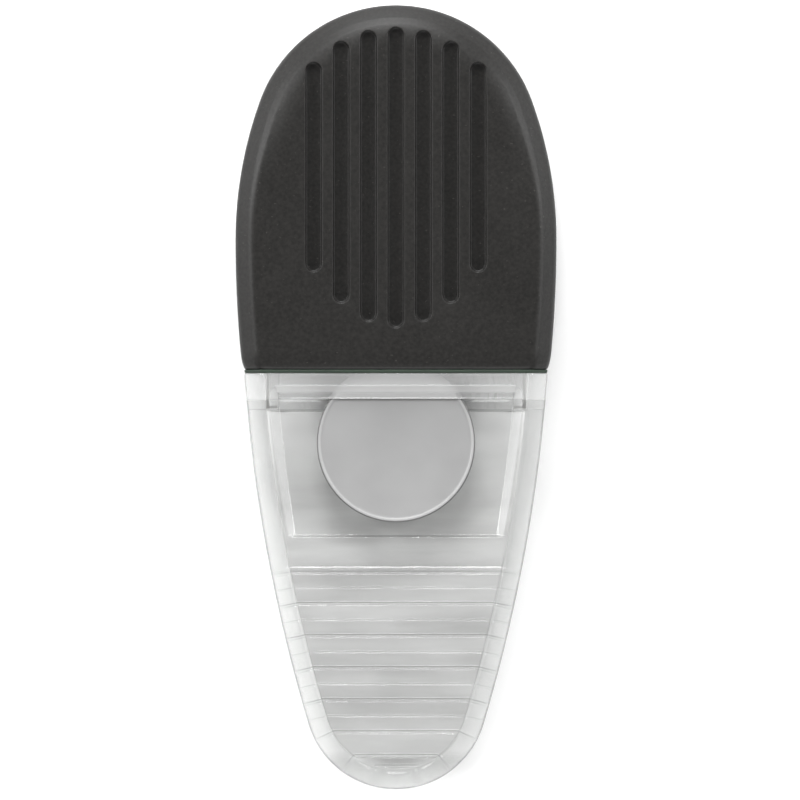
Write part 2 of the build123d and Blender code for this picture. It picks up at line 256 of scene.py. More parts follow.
def add_groove(bm, column, front):
    """One groove with a rounded rim and a level floor, which runs out where the face rolls down to it."""
    x = column * GROOVE_PITCH
    low, high = groove_ends(column)
    half = GROOVE_WIDTH / 2
    step = pi / GROOVE_END_STEPS
    low_end = [way for _, way in arc_points((0, 0), 1, -pi - step, pi + step, GROOVE_END_STEPS + 1)]
    high_end = [way for _, way in arc_points((0, 0), 1, -step, pi + step, GROOVE_END_STEPS + 1)]
    rises = [high - half - GROOVE_RUN_OUT * k / GROOVE_RUN_STEPS for k in range(GROOVE_RUN_STEPS, 0, -1)]
    ring = [((x, low + half), way) for way in low_end]
    ring += [((x, y), Vector((1, 0))) for y in rises]
    ring += [((x, high - half), way) for way in high_end]
    ring += [((x, y), Vector((-1, 0))) for y in reversed(rises)]
    turns = [pi / 2 * k / ROUNDING_STEPS for k in range(ROUNDING_STEPS + 1)]
    fillet = GROOVE_FOOT_FILLET
    section = [(GROOVE_RIM * (1 - sin(turn)), GROOVE_RIM * (1 - cos(turn))) for turn in turns]
    section += [(-fillet * (1 - cos(turn)), GROOVE_DEPTH - fillet * (1 - sin(turn))) for turn in turns]
    section.append((-half, GROOVE_DEPTH))

    def place(i, j):
        centre, way = ring[i % len(ring)]
        grown, depth = section[j]
        spot = Vector(centre) + (half + grown) * way
        roll = crown_roll(spot.x, spot.y)
        full = max(GROOVE_LEAST_DEPTH, GROOVE_DEPTH - GROOVE_LEVELLING * roll)
        z = CAP_THICK - roll - depth / GROOVE_DEPTH * full
        return spot.x, spot.y, z if front else CAP_THICK - z

    verts = drape_grid(bm, len(ring), len(section) - 1, place)
    bmesh.ops.remove_doubles(bm, verts=verts, dist=MERGE)


def open_edges(bm, test):
    """Edges with one face whose two ends pass a test."""
    return [e for e in bm.edges if len(e.link_faces) == 1 and all(test(v.co) for v in e.verts)]


def fill_level(bm, edges, height, spots, inside):
    """Fills a face between its outline and its mouth over some more spots, and leaves what lies inside."""
    verts = list(dict.fromkeys(v for e in edges for v in e.verts))
    number = {v: k for k, v in enumerate(verts)}
    pairs = [tuple(number[v] for v in e.verts) for e in edges]
    at_mouth = sorted((v for v in verts if abs(v.co.y - MOUTH_Y) < MERGE), key=lambda v: v.co.x)
    pairs.append((number[at_mouth[0]], number[at_mouth[-1]]))
    verts += [bm.verts.new((x, y, height(x, y))) for x, y in spots]
    flat = delaunay_2d_cdt([v.co.xy for v in verts], pairs, [], 1, 1e-5)
    for corners in flat[2]:
        middle = sum((flat[0][k] for k in corners), Vector((0, 0))) / len(corners)
        if not inside(middle):
            bm.faces.new([verts[flat[3][k][0]] for k in corners])


def within_groove(spot, margin=0.0):
    """Whether a spot of a face lies over one of the grooves."""
    column = round(spot.x / GROOVE_PITCH)
    if column not in GROOVE_COLUMNS:
        return False
    low, high = groove_ends(column)
    half = GROOVE_WIDTH / 2
    beyond = max(0, low + half - spot.y, spot.y - high + half)
    return hypot(spot.x - column * GROOVE_PITCH, beyond) < half + GROOVE_RIM + margin


def nowhere(spot):
    """No spot of a plain face lies inside anything."""
    return False


def front_level(x, y):
    """Height of the cap's front face at a spot of its plan."""
    return CAP_THICK - crown_roll(x, y)


def face_rims(bm, level):
    """Open edges that lie on a face's own surface, not down in a groove or at the mouth."""
    edges = open_edges(bm, lambda co: abs(co.z - level(co.x, co.y)) < TOUCH)
    return [e for e in edges if not all(abs(v.co.y - MOUTH_Y) < MERGE for v in e.verts)]


def join_form(bm, form):
    """Adds another form's geometry and frees it."""
    mesh = bpy.data.meshes.new("form")
    form.to_mesh(mesh)
    form.free()
    bm.from_mesh(mesh)
    bpy.data.meshes.remove(mesh)


def point_outwards(bm):
    """Merges doubled vertices and turns every face outwards."""
    bmesh.ops.remove_doubles(bm, verts=bm.verts, dist=MERGE)
    bmesh.ops.recalc_face_normals(bm, faces=bm.faces)


def finish_piece(bm, name, body, replaced, materials):
    bmesh.ops.scale(bm, vec=(MM, MM, MM), verts=bm.verts)
    for face in bm.faces:
        face.smooth = True
    mesh = bpy.data.meshes.new(name)
    bm.to_mesh(mesh)
    bm.free()
    piece = bpy.data.objects.new(name, mesh)
    scene.collection.objects.link(piece)
    for material in materials:
        mesh.materials.append(material)
    weighted = piece.modifiers.new("even_shading", "WEIGHTED_NORMAL")
    weighted.keep_sharp = True
    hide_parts(replaced)
    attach(piece, body)


def new_material(name):
    """New node material: itself, its tree, its Principled node and its object coordinates."""
    material = bpy.data.materials.new(name)
    material.use_nodes = True
    tree = material.node_tree
    place = tree.nodes.new("ShaderNodeTexCoord").outputs["Object"]
    return material, tree, tree.nodes["Principled BSDF"], place


def noise(tree, place, scale, detail=2.0, stretch=(1, 1, 1)):
    """Noise texture's value, its scale in cells per millimetre."""
    mapping = tree.nodes.new("ShaderNodeMapping")
    mapping.inputs["Scale"].default_value = [scale * k / MM for k in stretch]
    texture = tree.nodes.new("ShaderNodeTexNoise")
    texture.inputs["Scale"].default_value = 1
    texture.inputs["Detail"].default_value = detail
    tree.links.new(place, mapping.inputs["Vector"])
    tree.links.new(mapping.outputs["Vector"], texture.inputs["Vector"])
    return texture.outputs["Fac"]


def spread(tree, value, low, high, from_low=0.3, from_high=0.7):
    """Value carried from one range to another, held at its ends."""
    node = tree.nodes.new("ShaderNodeMapRange")
    node.inputs["From Min"].default_value = from_low
    node.inputs["From Max"].default_value = from_high
    node.inputs["To Min"].default_value = low
    node.inputs["To Max"].default_value = high
    tree.links.new(value, node.inputs["Value"])
    return node.outputs["Result"]


def shade_between(tree, value, dark, light):
    """Colour that runs from dark to light with a value from 0 to 1."""
    node = tree.nodes.new("ShaderNodeMix")
    node.data_type = "RGBA"
    node.inputs["A"].default_value = (*dark, 1)
    node.inputs["B"].default_value = (*light, 1)
    tree.links.new(value, node.inputs["Factor"])
    return node.outputs["Result"]


def add_bump(tree, shader, height, distance, strength=1.0):
    """Raises the surface by a height map, distance in millimetres."""
    node = tree.nodes.new("ShaderNodeBump")
    node.inputs["Distance"].default_value = distance * MM
    node.inputs["Strength"].default_value = strength
    tree.links.new(height, node.inputs["Height"])
    tree.links.new(node.outputs["Normal"], shader.inputs["Normal"])


def math_node(tree, operation, first, second):
    """Result of a sum, product or other operation on values or sockets."""
    node = tree.nodes.new("ShaderNodeMath")
    node.operation = operation
    for socket, value in zip(node.inputs, (first, second)):
        if isinstance(value, (int, float)):
            socket.default_value = value
        else:
            tree.links.new(value, socket)
    return node.outputs[0]


RUBBER_BLACK = (0.0062, 0.0059, 0.0054)
RUBBER_DUST = (0.034, 0.032, 0.030)


def blasted_rubber():
    """Matte black rubber: a blasted grain, cloudy handling marks and a few pale dust specks."""
    material, tree, shader, place = new_material("blasted_rubber")
    cloud = spread(tree, noise(tree, place, 0.12, 4), 0, 1)
    grain = spread(tree, noise(tree, place, 2.6, 4), 0, 0.3)
    specks = spread(tree, noise(tree, place, 3.2, 0), 0, 0.8, 0.79, 0.84)
    marks = math_node(tree, "ADD", grain, math_node(tree, "MULTIPLY", cloud, 0.06))
    tone = math_node(tree, "MAXIMUM", marks, specks)
    colour = shade_between(tree, tone, RUBBER_BLACK, RUBBER_DUST)
    tree.links.new(colour, shader.inputs["Base Color"])
    tree.links.new(spread(tree, cloud, 0.46, 0.5, 0, 1), shader.inputs["Roughness"])
    shader.inputs["Specular IOR Level"].default_value = 0.29
    add_bump(tree, shader, noise(tree, place, 5, 3), 0.012, 0.6)
    return material


def roll_mouth(bm):
    """Rolls the cap's edge in towards its mouth."""
    for share in MOUTH_ROLL_ROWS:
        y = MOUTH_Y + MOUTH_ROLL_LENGTH * share
        everything = [*bm.verts, *bm.edges, *bm.faces]
        bmesh.ops.bisect_plane(bm, geom=everything, plane_co=(0, y, 0), plane_no=(0, 1, 0))
    middle = CAP_THICK / 2
    for vert in bm.verts:
        t = 1 - (vert.co.y - MOUTH_Y) / MOUTH_ROLL_LENGTH
        if t > 0:
            roll = MOUTH_ROLL_DEPTH * (1 - sqrt(max(0, 1 - t * t)))
            vert.co.x -= roll * max(-1, min(1, vert.co.x / (CAP_HALF - 2 * EDGE_BEVEL)))
            if vert.co.z > middle:
                vert.co.z -= roll * min(1, (vert.co.z - middle) / (middle - EDGE_BEVEL))


def make_cap_grip():
    """The rubber grip: grooved faces, bevelled rims and side wall round a plain hollow."""
    bm = bmesh.new()
    line = cap_edge_line()
    drape_cap_side(bm, line, rim_profile(0, CAP_THICK, GRIP_BEVEL, BEVEL_SOFTENING, 5), True)
    for column in GROOVE_COLUMNS:
        add_groove(bm, column, True)
        add_groove(bm, column, False)
    rolled = [point - inset * way for inset in CROWN_ROLL_INSETS for point, way in line[12:-12:2]]
    spots = [
        spot.to_tuple() for spot in rolled
        if spot.y > CROWN_ROLL_LOW_Y and not within_groove(spot, GROOVE_SPACING)
    ]
    fronts, backs = face_rims(bm, front_level), face_rims(bm, crown_roll)
    fill_level(bm, fronts, front_level, spots, within_groove)
    fill_level(bm, backs, crown_roll, spots, within_groove)
    roll_mouth(bm)
    hollow = bmesh.new()
    drape_cap_side(hollow, line, rim_profile(GRIP_WALL, CAP_THICK, EDGE_BEVEL / 2, 0.3, 4), False)
    for z in (CAP_THICK - GRIP_WALL, GRIP_WALL):
        rim = open_edges(hollow, lambda co: abs(co.z - z) < MERGE)
        fill_level(hollow, rim, None, [], nowhere)
    join_form(bm, hollow)
    bmesh.ops.remove_doubles(bm, verts=bm.verts, dist=MERGE)
    bmesh.ops.bridge_loops(bm, edges=open_edges(bm, lambda co: abs(co.y - MOUTH_Y) < TOUCH))
    point_outwards(bm)
    finish_piece(bm, "rubber_cap_grip", "cap", "cap_grip", [blasted_rubber()])


make_cap_grip()

# ---------------------------------------------------------------------------
# Front shell: clear styrene, moulded with a bevelled rim, a shallow recess for the ball
# marker with an overhanging lip, and thumb ridges down to the tip. Welded to the back shell.
# ---------------------------------------------------------------------------
shell_low, shell_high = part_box("handle_front_shell")
back_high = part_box("handle_back_shell")[1]
core_low, core_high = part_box("handle_core")
marker_low, marker_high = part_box("ball_marker")
seal_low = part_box("seal_ring")[0]
SHOULDER_Y = seal_low.y / MM
TAIL_Y = -CROWN_Y
FACE_TOP = shell_high.z / MM
PARTING_Z = shell_low.z / MM
NECK_PARTING_Z = back_high.z / MM
HANDLE_REVEAL = 0.57
HANDLE_HALF = CAP_HALF - HANDLE_REVEAL
HANDLE_WIDEST_Y = SHOULDER_Y + 13.57
HANDLE_SIDE_RADIUS = 196.0
FACE_SLOPE = 0.1714
SHELL_WALL = 2.2
ROOF_WALL = 1.8
CORE_CLEARANCE = 0.1
CORE_TOP = core_high.z / MM + CORE_CLEARANCE
CAVITY_END_Y = core_high.y / MM + CORE_CLEARANCE
CAVITY_TIP_Y = core_low.y / MM - CORE_CLEARANCE
FACE_SOFTENING = 0.5
FACE_INSET = EDGE_BEVEL + FACE_SOFTENING
WALL_TOP_INSET = 0.25
WALL_DRAFT = 1.1
LIP_Y = SHOULDER_Y - 3.13
LIP_DRAFT = 1.75
RECESS_END_Y = LIP_Y - 16.6
RECESS_END_DRAFT = 0.3
FLOOR_Z = 9.7
PAD_Z = 10.3
PAD_MARGIN = 0.75
PAD_SINK = 0.15
SLOT_ROOF_Z = 11.65
SLOT_CLEARANCE = 0.2
SLIVER = 0.01
MARKER_Y = (marker_low.y + marker_high.y) / 2 / MM
MARKER_RADIUS = marker_high.x / MM
FIRST_RIDGE = 27.7
RIDGE_PITCH = 3.87
RIDGE_COUNT = 6
VALLEY_HALF = 0.26
VALLEY_DEPTH = 0.36
CREST_HEIGHT = 0.14
CREST_LINE_DEPTH = 0.2
CREST_LINE_HALF = 0.15
BEAD_Y = SHOULDER_Y - 23.45
BEAD_HEIGHT = 0.16
BEAD_HALF = 0.3

TIP_REACH = HANDLE_WIDEST_Y - TAIL_Y
SIDE_X = HANDLE_SIDE_RADIUS - HANDLE_HALF
TIP_RADIUS = (HANDLE_SIDE_RADIUS**2 - SIDE_X**2 - TIP_REACH**2) / (
    2 * (HANDLE_SIDE_RADIUS - TIP_REACH)
)
TIP_CENTRE_Y = TAIL_Y + TIP_RADIUS
TIP_TURN = atan2(TIP_CENTRE_Y - HANDLE_WIDEST_Y, SIDE_X)
VALLEYS = [SHOULDER_Y - FIRST_RIDGE - RIDGE_PITCH * k for k in range(RIDGE_COUNT - 1)]
CRESTS = [valley + RIDGE_PITCH / 2 for valley in VALLEYS]
TIP_LINES = [TAIL_Y + 4.1, TAIL_Y + 2.85]
UPPER_VALLEY_Y = CRESTS[0] + 1.8
UPPER_VALLEY_DEPTH = 0.7 * VALLEY_DEPTH
TIP_STEP_DEPTH = 0.12


def handle_ray(y):
    """Spot on the handle's right edge, and the outward way there, that faces a row of the flat face."""
    if y < TIP_CENTRE_Y + (TIP_RADIUS - FACE_INSET) * sin(TIP_TURN):
        centre, radius = Vector((0, TIP_CENTRE_Y)), TIP_RADIUS
    else:
        centre, radius = Vector((-SIDE_X, HANDLE_WIDEST_Y)), HANDLE_SIDE_RADIUS
    angle = asin(max(-1, min(1, (y - centre.y) / (radius - FACE_INSET))))
    way = Vector((cos(angle), sin(angle)))
    return centre + radius * way, way


def soft_ramp(t, ease=0.14):
    """Straight ramp from 0 to 1 with both ends rounded off."""
    steep = 1 / (1 - ease)
    if t < ease:
        return steep * t * t / (2 * ease)
    if t > 1 - ease:
        return 1 - steep * (1 - t) ** 2 / (2 * ease)
    return steep * (t - ease / 2)


def dip(y, middle, half):
    """Rounded dip of depth 1 across the face."""
    t = min(1, abs(y - middle) / half)
    return (1 - t * t) ** 2


def face_relief(y):
    """Height of the bead and the thumb ridges over the plain face in a row."""
    relief = BEAD_HEIGHT * dip(y, BEAD_Y, BEAD_HALF)
    relief -= UPPER_VALLEY_DEPTH * dip(y, UPPER_VALLEY_Y, VALLEY_HALF)
    relief -= TIP_STEP_DEPTH * dip(y, TIP_LINES[0], VALLEY_HALF)
    for valley in VALLEYS + TIP_LINES:
        relief -= VALLEY_DEPTH * dip(y, valley, VALLEY_HALF)
    for crest in CRESTS:
        relief += CREST_HEIGHT * (1 - min(1, abs(y - crest) / (RIDGE_PITCH / 2)))
        relief -= CREST_LINE_DEPTH * dip(y, crest, CREST_LINE_HALF)
    return relief


def recess_share(across, y):
    """How far a spot has gone down the recess's drafted walls, 0 at its rim and 1 at its floor."""
    up = min(1, max(0, (LIP_Y + LIP_DRAFT - y) / LIP_DRAFT))
    down = min(1, max(0, (y - RECESS_END_Y) / RECESS_END_DRAFT))
    return soft_ramp(1 - min(1, hypot(1 - across, 1 - min(up, down))))


def recess_level(y):
    """Height of the recess's floor or of the slot's roof under a row, if it has one."""
    if RECESS_END_Y < y < LIP_Y:
        return FLOOR_Z
    if LIP_Y < y < LIP_Y + LIP_DRAFT:
        return SLOT_ROOF_Z
    return None


def rows_across(middle, half, steps):
    """Rows over a line that runs across the face, and one beyond it on each side."""
    return {middle + half * k / steps for k in range(-steps - 1, steps + 2)}


def shell_rows():
    """(y, recess level or None, in the slot, solid below) for each row from the tip to the shoulder."""
    tip_rows = 16
    heights = {
        TIP_CENTRE_Y - (TIP_RADIUS - FACE_INSET) * cos(pi / 2 * k / tip_rows) for k in range(tip_rows + 1)
    }
    for valley in VALLEYS + TIP_LINES + [UPPER_VALLEY_Y]:
        heights |= rows_across(valley, VALLEY_HALF, 5)
    for crest in CRESTS:
        heights |= rows_across(crest, CREST_LINE_HALF, 3) | {crest - 0.9, crest + 0.9}
    heights |= rows_across(BEAD_Y, BEAD_HALF, 5)
    heights |= {RECESS_END_Y + RECESS_END_DRAFT * k / 6 for k in range(-3, 8)}
    heights |= {RECESS_END_Y + 0.6 + 0.85 * k for k in range(19)}
    heights |= {LIP_Y + LIP_DRAFT * k / 16 for k in range(1, 18)}
    heights |= {SHOULDER_Y - k for k in (1.1, 0.8, 0.5, 0.25, 0.15, 0.08, 0.03, 0)}
    heights |= {BEAD_Y + 0.8 + 0.8 * k for k in range(4)}
    heights |= {CAVITY_TIP_Y - k for k in (0.3, 0.2, 0.1, 0.05, 0)}
    low = TIP_CENTRE_Y - TIP_RADIUS + FACE_INSET
    heights = [y for y in sorted(heights) if y >= low - 1e-6]
    heights = [y for y in heights if abs(y - CAVITY_END_Y) > 0.05 and abs(y - LIP_Y) > 1e-6]
    rows = [(y, recess_level(y), False, y > CAVITY_END_Y) for y in heights]
    rows += [(CAVITY_END_Y, FLOOR_Z, False, solid) for solid in (False, True)]
    rows.sort(key=lambda row: (row[0], row[3]))
    lip = [(FLOOR_Z, False), (PAD_Z, False), (PAD_Z, True), (SLOT_ROOF_Z, True), (SLOT_ROOF_Z, False)]
    at = next(k for k, row in enumerate(rows) if row[0] > LIP_Y)
    rows[at:at] = [(LIP_Y, level, slot, True) for level, slot in lip]
    return rows


def shell_columns():
    """The half section's columns from the middle of the face round to the middle of the underside."""
    slot_half = sqrt((MARKER_RADIUS + SLOT_CLEARANCE) ** 2 - (LIP_Y - MARKER_Y) ** 2)
    floor_half = handle_ray(LIP_Y)[0].x - FACE_INSET - WALL_TOP_INSET - WALL_DRAFT
    slot_share = slot_half / floor_half
    columns = [("floor", slot_share * sin(pi / 2 * k / 12)) for k in range(13)]
    columns += [("floor", slot_share + (1 - slot_share) * k / 6) for k in range(1, 6)]
    columns += [("wall", k) for k in (1, 0.93, 0.86, 0.7, 0.5, 0.3, 0.14, 0.07, 0)]
    columns += [("bevel", p) for p in chamfer_profile(EDGE_BEVEL, FACE_SOFTENING, 4)]
    columns += [("side", k) for k in (0.3, 0.65, 0.97)]
    columns += [("flange", k) for k in (0, 0.1, 0.9, 1)]
    columns += [("cavity", k) for k in (0.05, 0.3, 0.6, 0.85, 0.95, 1)]
    columns += [("roof", k) for k in (0.97, 0.8, 0.6, 0.4, 0.2, 0)]
    return columns


def shell_spot(row, column):
    """The spot in a row and a column of the right half."""
    y, level, slot, solid = row
    kind, value = column
    edge, way = handle_ray(y)
    straight = min(1, max(0, (CAVITY_END_Y - y) / 4))
    parting = NECK_PARTING_Z if solid else PARTING_Z
    ease_end = 0.12 * max(0, 1 - (SHOULDER_Y - y) / 0.25) ** 2

    def at_inset(inset):
        spot = edge - inset * way
        return Vector((max(0, spot.x), y + (spot.y - y) * straight))

    def face_z(spot_y):
        return FACE_TOP - FACE_SLOPE * (SHOULDER_Y - spot_y) + face_relief(y) - ease_end

    if kind in ("floor", "wall"):
        inner = at_inset(FACE_INSET).x
        shrink = min(1, inner / 5)
        if kind == "floor":
            x = value * (inner - shrink * (WALL_TOP_INSET + WALL_DRAFT))
        else:
            x = inner - shrink * (WALL_TOP_INSET + WALL_DRAFT * value)
        z = face_z(y)
        if level is not None:
            z -= (z - level) * recess_share(1 if kind == "floor" else value, y)
        if slot:
            reach = (MARKER_RADIUS + SLOT_CLEARANCE) ** 2 - x * x
            y = max(y, MARKER_Y + sqrt(max(0, reach)))
            z = level if y > LIP_Y else z
        return x, y, z
    if kind == "bevel":
        inset, drop = value
        spot = at_inset(inset + ease_end)
        fade = min(1, inset / 0.8)
        plain = FACE_TOP - FACE_SLOPE * (SHOULDER_Y - at_inset(FACE_INSET).y)
        return spot.x, spot.y, plain - drop + face_relief(y) * fade - ease_end
    foot = face_z(at_inset(FACE_INSET).y) - face_relief(y) - FACE_INSET
    if kind == "side":
        spot = at_inset(ease_end)
        return spot.x, spot.y, foot + (parting - foot) * value
    if kind == "flange":
        spot = at_inset(0.08 + (SHELL_WALL - 0.08) * value)
        return spot.x, spot.y, parting
    spot = at_inset(SHELL_WALL)
    closed = solid or spot.y < CAVITY_TIP_Y
    roof = parting if closed else max(PARTING_Z + 0.3, min(CORE_TOP, face_z(spot.y) - ROOF_WALL))
    if kind == "cavity":
        return spot.x, spot.y, parting + (roof - parting) * value
    return spot.x * value, spot.y, roof


def mix_shaders(tree, share, first, second):
    """Blend of two shaders."""
    node = tree.nodes.new("ShaderNodeMixShader")
    tree.links.new(share, node.inputs[0])
    tree.links.new(first, node.inputs[1])
    tree.links.new(second, node.inputs[2])
    return node.outputs[0]


CLEAR_TINT = (0.98, 0.982, 0.98)
TIP_TINT = (0.9, 0.902, 0.9)
EDGE_TINT = (0.26, 0.27, 0.265, 1)
HAZE_AND_PAINTED_LIGHT_COLOUR = (0.93, 0.935, 0.93, 1)
LAMP_TINT = (0.985, 0.987, 0.985, 1)
# The collar, lip bar and wall amounts are haze added as painted light: it lifts the cap's shade on the
# collar and paints highlights on the lip's bar and the recess walls. The lip shade amount is painted shade
# under the lip's overhang.
COLLAR_PAINTED_LIGHT = 0.18
LIP_BAR_PAINTED_LIGHT = 0.16
LIP_SHADE = 0.2
WALL_PAINTED_LIGHT = 0.18
RECESS_HALF = 14.2


def tinted(tree, colour, share, tint):
    """Colour carried towards a tint by a share."""
    node = tree.nodes.new("ShaderNodeMix")
    node.data_type = "RGBA"
    node.inputs["B"].default_value = tint
    tree.links.new(share, node.inputs["Factor"])
    tree.links.new(colour, node.inputs["A"])
    return node.outputs["Result"]


def split(tree, vector):
    """X, Y and Z of a vector."""
    node = tree.nodes.new("ShaderNodeSeparateXYZ")
    tree.links.new(vector, node.inputs[0])
    return node.outputs


def product(tree, *factors):
    """Product of two or more values or sockets."""
    result = factors[0]
    for factor in factors[1:]:
        result = math_node(tree, "MULTIPLY", result, factor)
    return result


def lip_band(tree, spot, strength, low, high):
    """Band along the lip, as wide as the recess; its edges are pairs of heights over the lip."""
    rise = spread(tree, spot["Y"], 0, 1, (LIP_Y + low[0]) * MM, (LIP_Y + low[1]) * MM)
    fall = spread(tree, spot["Y"], strength, 0, (LIP_Y + high[0]) * MM, (LIP_Y + high[1]) * MM)
    aside = math_node(tree, "ABSOLUTE", spot["X"], 0)
    across = spread(tree, aside, 1, 0, RECESS_HALF * MM, (RECESS_HALF + 0.4) * MM)
    return product(tree, rise, fall, across)


def clear_styrene():
    """Clear plastic: it lets lamps through, greys where its surface turns away and has faint scuffs.
    Haze adds painted light round the collar, lip and recess walls; a band of painted shade darkens the lip.
    """
    material, tree, shader, place = new_material("clear_styrene")
    spot = split(tree, place)
    layer = tree.nodes.new("ShaderNodeLayerWeight")
    layer.inputs["Blend"].default_value = 0.5
    facing = layer.outputs["Facing"]
    geometry = tree.nodes.new("ShaderNodeNewGeometry").outputs
    outside = math_node(tree, "SUBTRACT", 1, geometry["Backfacing"])
    lean = product(tree, spot["X"], split(tree, geometry["Normal"])["X"])
    inward = spread(tree, lean, 0, 1, -4 * MM, -8 * MM)
    scuffs = noise(tree, place, 0.25, 5)

    grazing = spread(tree, facing, 0, 1, 0.33, 0.93)
    turned = product(tree, grazing, outside, spread(tree, inward, 1, 0.12, 0, 1))
    shade = product(tree, lip_band(tree, spot, LIP_SHADE, (0, 0.1), (0.6, 0.8)), outside)
    tip = spread(tree, spot["Y"], 0, 1, (TIP_LINES[0] + 0.6) * MM, (TIP_LINES[0] - 0.8) * MM)
    depth = shade_between(tree, tip, CLEAR_TINT, TIP_TINT)
    through = tree.nodes.new("ShaderNodeBsdfTransparent")
    tint = tinted(tree, depth, math_node(tree, "MAXIMUM", turned, shade), EDGE_TINT)
    tree.links.new(tint, through.inputs["Color"])

    # Diffuse haze: faint milky scuffs all over, plus painted light on the collar above the lip, on the lip's
    # bar and on the recess walls that face inwards.
    haze = tree.nodes.new("ShaderNodeBsdfDiffuse")
    haze.inputs["Color"].default_value = HAZE_AND_PAINTED_LIGHT_COLOUR
    collar = spread(tree, spot["Y"], 0, COLLAR_PAINTED_LIGHT, (LIP_Y - 0.15) * MM, LIP_Y * MM)
    bar = lip_band(tree, spot, LIP_BAR_PAINTED_LIGHT, (0.75, 0.9), (LIP_DRAFT - 0.2, LIP_DRAFT))
    share = spread(tree, scuffs, 0.03, 0.07)
    for part in (collar, bar, product(tree, inward, WALL_PAINTED_LIGHT)):
        share = math_node(tree, "ADD", share, part)
    haze_and_painted_light = mix_shaders(tree, share, through.outputs[0], haze.outputs[0])

    gloss = tree.nodes.new("ShaderNodeBsdfAnisotropic")
    gloss.inputs["Color"].default_value = (1, 1, 1, 1)
    tree.links.new(spread(tree, scuffs, 0.08, 0.2), gloss.inputs["Roughness"])
    add_bump(tree, gloss, noise(tree, place, 0.35, 3), 0.02, 0.4)
    glance = product(tree, math_node(tree, "POWER", facing, 5), 0.25)
    mirror = product(tree, math_node(tree, "ADD", glance, 0.045), outside)
    glossy = mix_shaders(tree, mirror, haze_and_painted_light, gloss.outputs[0])

    lamp = tree.nodes.new("ShaderNodeBsdfTransparent")
    lamp.inputs["Color"].default_value = LAMP_TINT
    path = tree.nodes.new("ShaderNodeLightPath").outputs
    light = math_node(tree, "MAXIMUM", path["Is Shadow Ray"], path["Is Diffuse Ray"])
    result = mix_shaders(tree, light, glossy, lamp.outputs[0])
    tree.nodes.remove(shader)
    tree.links.new(result, tree.nodes["Material Output"].inputs["Surface"])
    return material


def frosted_styrene(name, low, high, stretch=(1, 1, 1), lifts=()):
    """Matte blasted plastic with soft clouds; each lift is (start y, end y, grey it ends in)."""
    material, tree, shader, place = new_material(name)
    clouds = spread(tree, noise(tree, place, 0.11, 4, stretch), 0, 1, 0.35, 0.68)
    colour = shade_between(tree, clouds, low, high)
    # Each lift blends the colour towards a grey along y; the core's lift near the cap is painted light.
    for start, end, grey in lifts:
        share = spread(tree, split(tree, place)["Y"], 0, 1, start * MM, end * MM)
        colour = tinted(tree, colour, share, (grey, grey, grey, 1))
    tree.links.new(colour, shader.inputs["Base Color"])
    tree.links.new(spread(tree, noise(tree, place, 0.6, 3), 0.38, 0.55), shader.inputs["Roughness"])
    add_bump(tree, shader, noise(tree, place, 4, 3), 0.01, 0.5)
    return material


clear_plastic = clear_styrene()
slot_frost = frosted_styrene("slot_frost", (0.3, 0.3, 0.3), (0.34, 0.34, 0.34))


CAD_MERGE = 2e-3
FLAT_ANGLE = radians(0.6)
SHARP_ANGLE = radians(32)


def add_cad_part(bm, node, above_y=None):
    """Adds a clean copy of a CAD node's mesh in millimetres, or only its part above a height."""
    copy = bmesh.new()
    copy.from_mesh(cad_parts[node].data)
    bmesh.ops.scale(copy, vec=(1 / MM,) * 3, verts=copy.verts)
    bmesh.ops.remove_doubles(copy, verts=copy.verts, dist=CAD_MERGE)
    if above_y is not None:
        everything = [*copy.verts, *copy.edges, *copy.faces]
        plane = (0, above_y, 0)
        bmesh.ops.bisect_plane(copy, geom=everything, plane_co=plane, plane_no=(0, -1, 0), clear_outer=True)
        bmesh.ops.holes_fill(copy, edges=[e for e in copy.edges if e.is_boundary], sides=0)
    bmesh.ops.dissolve_limit(
        copy, angle_limit=FLAT_ANGLE, verts=copy.verts, edges=copy.edges, use_dissolve_boundaries=False
    )
    join_form(bm, copy)


def soften_edges(bm, width, segments=2):
    """Rounds the sharp edges of a moulded or stamped form."""
    sharp = [e for e in bm.edges if e.is_manifold and e.calc_face_angle() > SHARP_ANGLE]
    bmesh.ops.bevel(
        bm, geom=sharp, offset=width, offset_type="OFFSET", segments=segments, profile=0.5,
        affect="EDGES", clamp_overlap=True, material=-1,
    )


def add_marker_pad(bm):
    """The low round pad on the recess's floor that carries the marker, up to the lip."""
    height = PAD_Z - FLOOR_Z + PAD_SINK
    radius = MARKER_RADIUS - PAD_MARGIN
    pad = bmesh.new()
    bmesh.ops.create_cone(
        pad, cap_ends=True, segments=96, radius1=radius, radius2=radius, depth=height,
        matrix=Matrix.Translation((0, MARKER_Y, PAD_Z - height / 2)),
    )
    everything = [*pad.verts, *pad.edges, *pad.faces]
    bmesh.ops.bisect_plane(
        pad, geom=everything, plane_co=(0, LIP_Y, 0), plane_no=(0, 1, 0), clear_outer=True
    )
    bmesh.ops.holes_fill(pad, edges=[e for e in pad.edges if e.is_boundary], sides=0)
    join_form(bm, pad)


